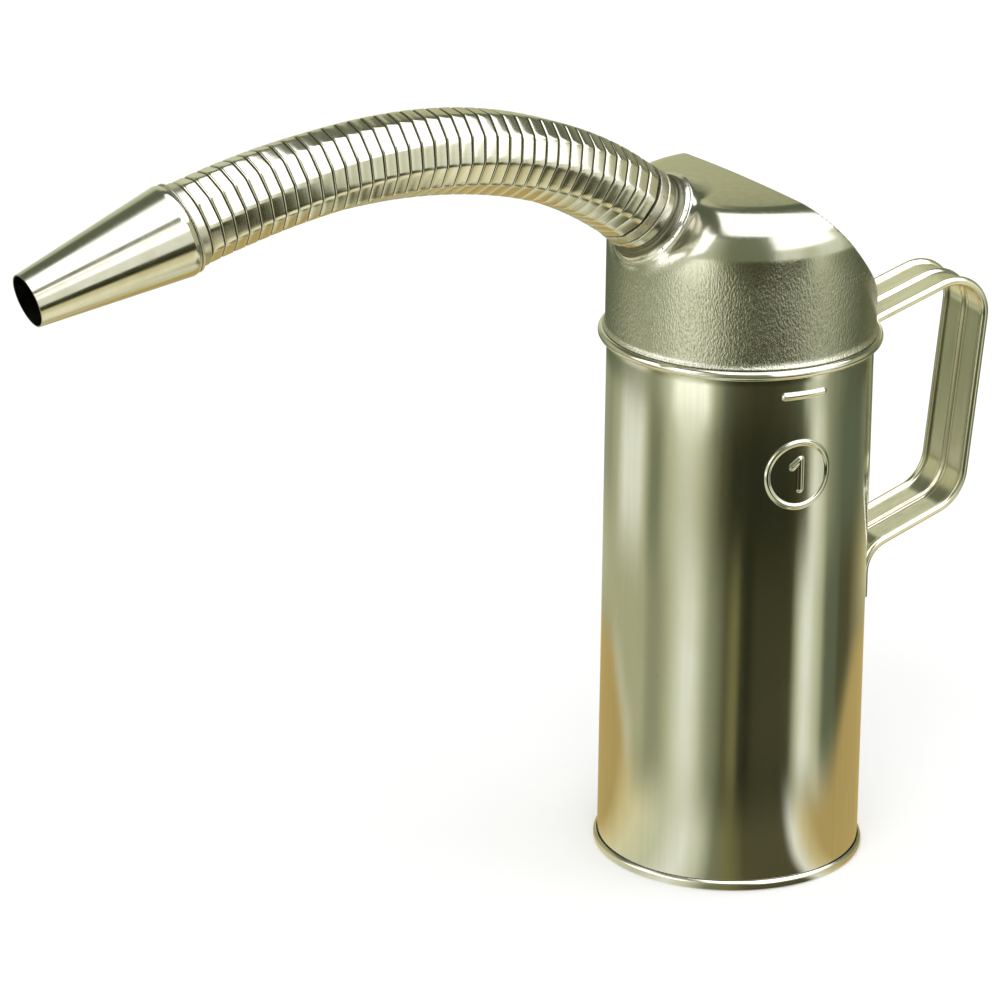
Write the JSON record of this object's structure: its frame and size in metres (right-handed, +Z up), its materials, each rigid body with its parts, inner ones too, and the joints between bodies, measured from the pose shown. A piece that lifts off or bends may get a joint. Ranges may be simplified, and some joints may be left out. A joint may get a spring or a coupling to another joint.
{
  "type": "measuring jug",
  "caption": "Tinplate oil measuring jug with a slant-cut hood, a flexible strip-wound spout ending in a tapered nozzle, and a strap handle.",
  "frame": {"origin": "centre of the flat base, on the body axis", "axes": "+Z up along the body, -X toward the spout, +X toward the handle, the volume mark on the -Y side"},
  "size_m": [0.3485, 0.0932, 0.272],
  "materials": {
    "body": "bright tinplate, a little grained",
    "wire": "drawn wire",
    "base": "bright tinplate",
    "hood": "drawn tinplate, satin and finely wrinkled",
    "solder": "smoothed soft solder",
    "neck": "spun tinplate",
    "sleeve": "tinned sleeve, scuffed",
    "hose_strip": "bright wound strip, brushed along its length",
    "nozzle": "bright tinplate",
    "handle": "bright tinplate"
  },
  "bodies": {
    "jug": {"body_shell": "body", "rim_wire": "wire", "base_panel": "base", "hood": "hood", "hood_solder": "solder", "spout_neck": "neck", "neck_solder": "solder", "sleeve_solder": "solder", "hose_start_sleeve": "sleeve", "handle_strap": "handle"},
    "turn_01": {"hose_turn_01": "hose_strip"},
    "turn_02": {"hose_turn_02": "hose_strip"},
    "turn_03": {"hose_turn_03": "hose_strip"},
    "turn_04": {"hose_turn_04": "hose_strip"},
    "turn_05": {"hose_turn_05": "hose_strip"},
    "turn_06": {"hose_turn_06": "hose_strip"},
    "turn_07": {"hose_turn_07": "hose_strip"},
    "turn_08": {"hose_turn_08": "hose_strip"},
    "turn_09": {"hose_turn_09": "hose_strip"},
    "turn_10": {"hose_turn_10": "hose_strip"},
    "turn_11": {"hose_turn_11": "hose_strip"},
    "turn_12": {"hose_turn_12": "hose_strip"},
    "turn_13": {"hose_turn_13": "hose_strip"},
    "turn_14": {"hose_turn_14": "hose_strip"},
    "turn_15": {"hose_turn_15": "hose_strip"},
    "turn_16": {"hose_turn_16": "hose_strip"},
    "turn_17": {"hose_turn_17": "hose_strip"},
    "turn_18": {"hose_turn_18": "hose_strip"},
    "turn_19": {"hose_turn_19": "hose_strip"},
    "turn_20": {"hose_turn_20": "hose_strip"},
    "turn_21": {"hose_turn_21": "hose_strip"},
    "turn_22": {"hose_turn_22": "hose_strip"},
    "turn_23": {"hose_turn_23": "hose_strip"},
    "turn_24": {"hose_turn_24": "hose_strip"},
    "turn_25": {"hose_turn_25": "hose_strip"},
    "turn_26": {"hose_turn_26": "hose_strip"},
    "turn_27": {"hose_turn_27": "hose_strip"},
    "turn_28": {"hose_turn_28": "hose_strip"},
    "turn_29": {"hose_turn_29": "hose_strip"},
    "turn_30": {"hose_turn_30": "hose_strip"},
    "turn_31": {"hose_turn_31": "hose_strip"},
    "turn_32": {"hose_turn_32": "hose_strip"},
    "turn_33": {"hose_turn_33": "hose_strip"},
    "turn_34": {"hose_turn_34": "hose_strip"},
    "turn_35": {"hose_turn_35": "hose_strip"},
    "turn_36": {"hose_turn_36": "hose_strip"},
    "turn_37": {"hose_turn_37": "hose_strip"},
    "nozzle": {"nozzle_sleeve": "sleeve", "nozzle_cone": "nozzle", "nozzle_solder": "solder"}
  },
  "joints": [
    {"name": "raise_01", "type": "hinge", "parent": "jug", "child": "turn_01", "pos_m": [-0.0439, 0, 0.23115], "axis": [0, 1, 0], "range_deg": [-1.4, 3.4]},
    {"name": "swing_02", "type": "hinge", "parent": "turn_01", "child": "turn_02", "pos_m": [-0.04744, 0, 0.23381], "axis": [0.5844, 0, 0.8115], "range_deg": [-2.4, 2.4]},
    {"name": "raise_03", "type": "hinge", "parent": "turn_02", "child": "turn_03", "pos_m": [-0.05109, 0, 0.23633], "axis": [0, 1, 0], "range_deg": [-1.4, 3.4]},
    {"name": "swing_04", "type": "hinge", "parent": "turn_03", "child": "turn_04", "pos_m": [-0.05483, 0, 0.23871], "axis": [0.521, 0, 0.8536], "range_deg": [-2.4, 2.4]},
    {"name": "raise_05", "type": "hinge", "parent": "turn_04", "child": "turn_05", "pos_m": [-0.05865, 0, 0.24094], "axis": [0, 1, 0], "range_deg": [-1.4, 3.4]},
    {"name": "swing_06", "type": "hinge", "parent": "turn_05", "child": "turn_06", "pos_m": [-0.06255, 0, 0.24304], "axis": [0.4572, 0, 0.8893], "range_deg": [-2.4, 2.4]},
    {"name": "raise_07", "type": "hinge", "parent": "turn_06", "child": "turn_07", "pos_m": [-0.06653, 0, 0.24499], "axis": [0, 1, 0], "range_deg": [-1.4, 3.4]},
    {"name": "swing_08", "type": "hinge", "parent": "turn_07", "child": "turn_08", "pos_m": [-0.07057, 0, 0.24681], "axis": [0.3938, 0, 0.9192], "range_deg": [-2.4, 2.4]},
    {"name": "raise_09", "type": "hinge", "parent": "turn_08", "child": "turn_09", "pos_m": [-0.07467, 0, 0.24848], "axis": [0, 1, 0], "range_deg": [-1.4, 3.4]},
    {"name": "swing_10", "type": "hinge", "parent": "turn_09", "child": "turn_10", "pos_m": [-0.07883, 0, 0.25002], "axis": [0.3312, 0, 0.9436], "range_deg": [-2.4, 2.4]},
    {"name": "raise_11", "type": "hinge", "parent": "turn_10", "child": "turn_11", "pos_m": [-0.08303, 0, 0.25141], "axis": [0, 1, 0], "range_deg": [-1.4, 3.4]},
    {"name": "swing_12", "type": "hinge", "parent": "turn_11", "child": "turn_12", "pos_m": [-0.08728, 0, 0.25268], "axis": [0.27, 0, 0.9628], "range_deg": [-2.4, 2.4]},
    {"name": "raise_13", "type": "hinge", "parent": "turn_12", "child": "turn_13", "pos_m": [-0.09156, 0, 0.25381], "axis": [0, 1, 0], "range_deg": [-1.4, 3.4]},
    {"name": "swing_14", "type": "hinge", "parent": "turn_13", "child": "turn_14", "pos_m": [-0.09588, 0, 0.25481], "axis": [0.2107, 0, 0.9776], "range_deg": [-2.4, 2.4]},
    {"name": "raise_15", "type": "hinge", "parent": "turn_14", "child": "turn_15", "pos_m": [-0.10022, 0, 0.25567], "axis": [0, 1, 0], "range_deg": [-1.4, 3.4]},
    {"name": "swing_16", "type": "hinge", "parent": "turn_15", "child": "turn_16", "pos_m": [-0.10459, 0, 0.25642], "axis": [0.1535, 0, 0.9882], "range_deg": [-2.4, 2.4]},
    {"name": "raise_17", "type": "hinge", "parent": "turn_16", "child": "turn_17", "pos_m": [-0.10897, 0, 0.25703], "axis": [0, 1, 0], "range_deg": [-1.4, 3.4]},
    {"name": "swing_18", "type": "hinge", "parent": "turn_17", "child": "turn_18", "pos_m": [-0.11338, 0, 0.25753], "axis": [0.0987, 0, 0.9951], "range_deg": [-2.4, 2.4]},
    {"name": "raise_19", "type": "hinge", "parent": "turn_18", "child": "turn_19", "pos_m": [-0.11779, 0, 0.25791], "axis": [0, 1, 0], "range_deg": [-1.4, 3.4]},
    {"name": "swing_20", "type": "hinge", "parent": "turn_19", "child": "turn_20", "pos_m": [-0.12221, 0, 0.25817], "axis": [0.0466, 0, 0.9989], "range_deg": [-2.4, 2.4]},
    {"name": "raise_21", "type": "hinge", "parent": "turn_20", "child": "turn_21", "pos_m": [-0.12664, 0, 0.25832], "axis": [0, 1, 0], "range_deg": [-1.4, 3.4]},
    {"name": "swing_22", "type": "hinge", "parent": "turn_21", "child": "turn_22", "pos_m": [-0.13107, 0, 0.25836], "axis": [-0.0026, 0, 1], "range_deg": [-2.4, 2.4]},
    {"name": "raise_23", "type": "hinge", "parent": "turn_22", "child": "turn_23", "pos_m": [-0.1355, 0, 0.2583], "axis": [0, 1, 0], "range_deg": [-1.4, 3.4]},
    {"name": "swing_24", "type": "hinge", "parent": "turn_23", "child": "turn_24", "pos_m": [-0.13992, 0, 0.25813], "axis": [-0.0488, 0, 0.9988], "range_deg": [-2.4, 2.4]},
    {"name": "raise_25", "type": "hinge", "parent": "turn_24", "child": "turn_25", "pos_m": [-0.14435, 0, 0.25787], "axis": [0, 1, 0], "range_deg": [-1.4, 3.4]},
    {"name": "swing_26", "type": "hinge", "parent": "turn_25", "child": "turn_26", "pos_m": [-0.14876, 0, 0.2575], "axis": [-0.0919, 0, 0.9958], "range_deg": [-2.4, 2.4]},
    {"name": "raise_27", "type": "hinge", "parent": "turn_26", "child": "turn_27", "pos_m": [-0.15317, 0, 0.25705], "axis": [0, 1, 0], "range_deg": [-1.4, 3.4]},
    {"name": "swing_28", "type": "hinge", "parent": "turn_27", "child": "turn_28", "pos_m": [-0.15757, 0, 0.25651], "axis": [-0.1319, 0, 0.9913], "range_deg": [-2.4, 2.4]},
    {"name": "raise_29", "type": "hinge", "parent": "turn_28", "child": "turn_29", "pos_m": [-0.16195, 0, 0.25588], "axis": [0, 1, 0], "range_deg": [-1.4, 3.4]},
    {"name": "swing_30", "type": "hinge", "parent": "turn_29", "child": "turn_30", "pos_m": [-0.16633, 0, 0.25517], "axis": [-0.1687, 0, 0.9857], "range_deg": [-2.4, 2.4]},
    {"name": "raise_31", "type": "hinge", "parent": "turn_30", "child": "turn_31", "pos_m": [-0.17068, 0, 0.25439], "axis": [0, 1, 0], "range_deg": [-1.4, 3.4]},
    {"name": "swing_32", "type": "hinge", "parent": "turn_31", "child": "turn_32", "pos_m": [-0.17503, 0, 0.25353], "axis": [-0.2024, 0, 0.9793], "range_deg": [-2.4, 2.4]},
    {"name": "raise_33", "type": "hinge", "parent": "turn_32", "child": "turn_33", "pos_m": [-0.17936, 0, 0.2526], "axis": [0, 1, 0], "range_deg": [-1.4, 3.4]},
    {"name": "swing_34", "type": "hinge", "parent": "turn_33", "child": "turn_34", "pos_m": [-0.18368, 0, 0.2516], "axis": [-0.233, 0, 0.9725], "range_deg": [-2.4, 2.4]},
    {"name": "raise_35", "type": "hinge", "parent": "turn_34", "child": "turn_35", "pos_m": [-0.18798, 0, 0.25053], "axis": [0, 1, 0], "range_deg": [-1.4, 3.4]},
    {"name": "swing_36", "type": "hinge", "parent": "turn_35", "child": "turn_36", "pos_m": [-0.19226, 0, 0.24941], "axis": [-0.2604, 0, 0.9655], "range_deg": [-2.4, 2.4]},
    {"name": "raise_37", "type": "hinge", "parent": "turn_36", "child": "turn_37", "pos_m": [-0.19653, 0, 0.24822], "axis": [0, 1, 0], "range_deg": [-1.4, 3.4]},
    {"name": "swing_38", "type": "hinge", "parent": "turn_37", "child": "nozzle", "pos_m": [-0.20078, 0, 0.24699], "axis": [-0.2819, 0, 0.9594], "range_deg": [-2.4, 2.4]}
  ],
  "couplings": [
    {"joint": "raise_03", "follows": "raise_01", "ratio": 1},
    {"joint": "swing_04", "follows": "swing_02", "ratio": 1},
    {"joint": "raise_05", "follows": "raise_01", "ratio": 1},
    {"joint": "swing_06", "follows": "swing_02", "ratio": 1},
    {"joint": "raise_07", "follows": "raise_01", "ratio": 1},
    {"joint": "swing_08", "follows": "swing_02", "ratio": 1},
    {"joint": "raise_09", "follows": "raise_01", "ratio": 1},
    {"joint": "swing_10", "follows": "swing_02", "ratio": 1},
    {"joint": "raise_11", "follows": "raise_01", "ratio": 1},
    {"joint": "swing_12", "follows": "swing_02", "ratio": 1},
    {"joint": "raise_13", "follows": "raise_01", "ratio": 1},
    {"joint": "swing_14", "follows": "swing_02", "ratio": 1},
    {"joint": "raise_15", "follows": "raise_01", "ratio": 1},
    {"joint": "swing_16", "follows": "swing_02", "ratio": 1},
    {"joint": "raise_17", "follows": "raise_01", "ratio": 1},
    {"joint": "swing_18", "follows": "swing_02", "ratio": 1},
    {"joint": "raise_19", "follows": "raise_01", "ratio": 1},
    {"joint": "swing_20", "follows": "swing_02", "ratio": 1},
    {"joint": "raise_21", "follows": "raise_01", "ratio": 1},
    {"joint": "swing_22", "follows": "swing_02", "ratio": 1},
    {"joint": "raise_23", "follows": "raise_01", "ratio": 1},
    {"joint": "swing_24", "follows": "swing_02", "ratio": 1},
    {"joint": "raise_25", "follows": "raise_01", "ratio": 1},
    {"joint": "swing_26", "follows": "swing_02", "ratio": 1},
    {"joint": "raise_27", "follows": "raise_01", "ratio": 1},
    {"joint": "swing_28", "follows": "swing_02", "ratio": 1},
    {"joint": "raise_29", "follows": "raise_01", "ratio": 1},
    {"joint": "swing_30", "follows": "swing_02", "ratio": 1},
    {"joint": "raise_31", "follows": "raise_01", "ratio": 1},
    {"joint": "swing_32", "follows": "swing_02", "ratio": 1},
    {"joint": "raise_33", "follows": "raise_01", "ratio": 1},
    {"joint": "swing_34", "follows": "swing_02", "ratio": 1},
    {"joint": "raise_35", "follows": "raise_01", "ratio": 1},
    {"joint": "swing_36", "follows": "swing_02", "ratio": 1},
    {"joint": "raise_37", "follows": "raise_01", "ratio": 1},
    {"joint": "swing_38", "follows": "swing_02", "ratio": 1}
  ]
}
